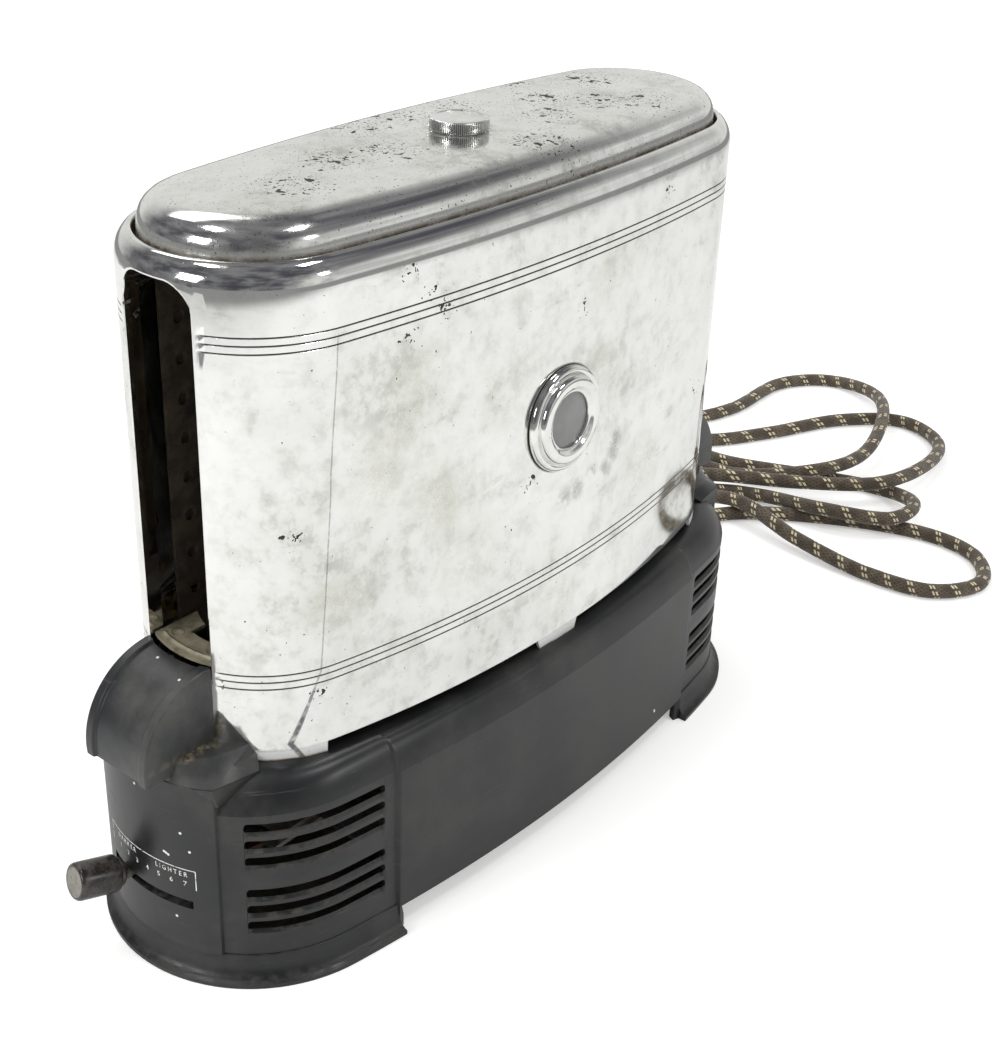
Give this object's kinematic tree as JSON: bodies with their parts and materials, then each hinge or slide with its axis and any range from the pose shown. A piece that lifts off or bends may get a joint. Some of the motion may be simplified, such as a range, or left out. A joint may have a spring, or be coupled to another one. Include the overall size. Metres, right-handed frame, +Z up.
{
  "type": "walk-through bread toaster",
  "caption": "Upright bread toaster with a plated oval body, a moulded black base, a slot at each end and a beam that walks the bread through.",
  "frame": {"origin": "middle of the toaster's footprint on the surface that it stands on, the free cord not counted", "axes": "+X along the bread's path away from the control knob, +Y away from the side with the window, +Z up"},
  "size_m": [0.6256, 0.3034, 0.2628],
  "materials": {
    "black_moulding": "semi-gloss, moulded",
    "plated_steel": "polished, worn",
    "plated_cover": "polished, pitted",
    "plated_trim": "polished",
    "window_glass": "dull",
    "frame_steel": "plain",
    "dark_steel": "heat-stained",
    "plate_steel": "stained, dusty",
    "shaft_steel": "turned",
    "gear_fibre": "laminated, machined",
    "bearing_brass": "turned",
    "core_iron": "laminated",
    "winding": "varnished tape",
    "mica": "flaky",
    "element_alloy": "oxidised",
    "reflector_tin": "bright",
    "brown_board": "pressed",
    "knob_black": "polished, worn",
    "screw_steel": "plain",
    "sleeve_rubber": "dull",
    "cord_braid": "braided, brown with pale flecks",
    "plug_black": "moulded",
    "pin_brass": "plain"
  },
  "bodies": {
    "frame": {"base_housing": "black_moulding", "bottom_plate": "frame_steel", "deck_plate": "frame_steel", "case_screws": "screw_steel", "near_apron": "black_moulding", "far_apron": "black_moulding", "side_frame_front": "frame_steel", "side_frame_rear": "frame_steel", "bearing_bushes": "bearing_brass", "gear_studs": "shaft_steel", "motor_stator": "core_iron", "motor_coil": "winding", "motor_bolts": "screw_steel", "guard_frame_front": "dark_steel", "guard_frame_rear": "dark_steel", "element_board_front": "mica", "element_board_rear": "mica", "element_ribbon_front": "element_alloy", "element_ribbon_rear": "element_alloy", "reflector_front": "reflector_tin", "reflector_rear": "reflector_tin", "element_brackets": "frame_steel", "entry_plate": "plate_steel", "exit_plate": "plate_steel", "cover_bridge": "frame_steel", "body_shell": "plated_steel", "window_bezel": "plated_trim", "window_lens": "window_glass", "bezel_nut": "screw_steel", "lever_pivot": "shaft_steel", "tap_plate": "brown_board", "tap_studs": "bearing_brass", "terminal_block": "brown_board", "cord_gland": "sleeve_rubber", "supply_cord": "cord_braid", "plug_body": "plug_black", "plug_pins": "pin_brass"},
    "cover": {"top_cover": "plated_cover"},
    "thumbscrew": {"thumbscrew": "plated_trim"},
    "lever": {"control_lever": "frame_steel", "knob_ferrule": "dark_steel", "control_knob": "knob_black"},
    "drive_crank": {"drive_shaft": "shaft_steel", "drive_gear": "gear_fibre"},
    "beam": {"walking_beam": "dark_steel"},
    "idler": {"idler_crank": "shaft_steel"},
    "gear_b": {"reduction_gear_b": "gear_fibre"},
    "gear_a": {"reduction_gear_a": "gear_fibre"},
    "rotor": {"motor_rotor": "core_iron", "rotor_pinion": "bearing_brass"}
  },
  "joints": [
    {"name": "drive_turn", "type": "hinge", "parent": "frame", "child": "drive_crank", "pos_m": [-0.095, 0, 0.092], "axis": [0, 1, 0], "continuous": true},
    {"name": "beam_walk", "type": "hinge", "parent": "drive_crank", "child": "beam", "pos_m": [-0.095, 0, 0.088], "axis": [0, 1, 0], "continuous": true},
    {"name": "idler_turn", "type": "hinge", "parent": "frame", "child": "idler", "pos_m": [0.095, 0, 0.092], "axis": [0, 1, 0], "continuous": true},
    {"name": "gear_b_turn", "type": "hinge", "parent": "frame", "child": "gear_b", "pos_m": [-0.0751, 0, 0.07858], "axis": [0, 1, 0], "continuous": true},
    {"name": "gear_a_turn", "type": "hinge", "parent": "frame", "child": "gear_a", "pos_m": [-0.05521, 0, 0.06516], "axis": [0, 1, 0], "continuous": true},
    {"name": "rotor_turn", "type": "hinge", "parent": "frame", "child": "rotor", "pos_m": [-0.03531, 0, 0.05174], "axis": [0, 1, 0], "continuous": true},
    {"name": "lever_swing", "type": "hinge", "parent": "frame", "child": "lever", "pos_m": [-0.1005, 0, 0.031], "axis": [0, 0, 1], "range_deg": [-6.1, 27.9]},
    {"name": "cover_lift", "type": "slide", "parent": "frame", "child": "cover", "axis": [0, 0, 1], "range_m": [0, 0.04]},
    {"name": "thumbscrew_turn", "type": "hinge", "parent": "cover", "child": "thumbscrew", "pos_m": [0, 0, 0.2606], "axis": [0, 0, 1], "continuous": true}
  ],
  "couplings": [
    {"joint": "beam_walk", "follows": "drive_turn", "ratio": -1},
    {"joint": "idler_turn", "follows": "drive_turn", "ratio": 1},
    {"joint": "gear_b_turn", "follows": "drive_turn", "ratio": -4},
    {"joint": "gear_a_turn", "follows": "drive_turn", "ratio": 16},
    {"joint": "rotor_turn", "follows": "drive_turn", "ratio": -64}
  ]
}
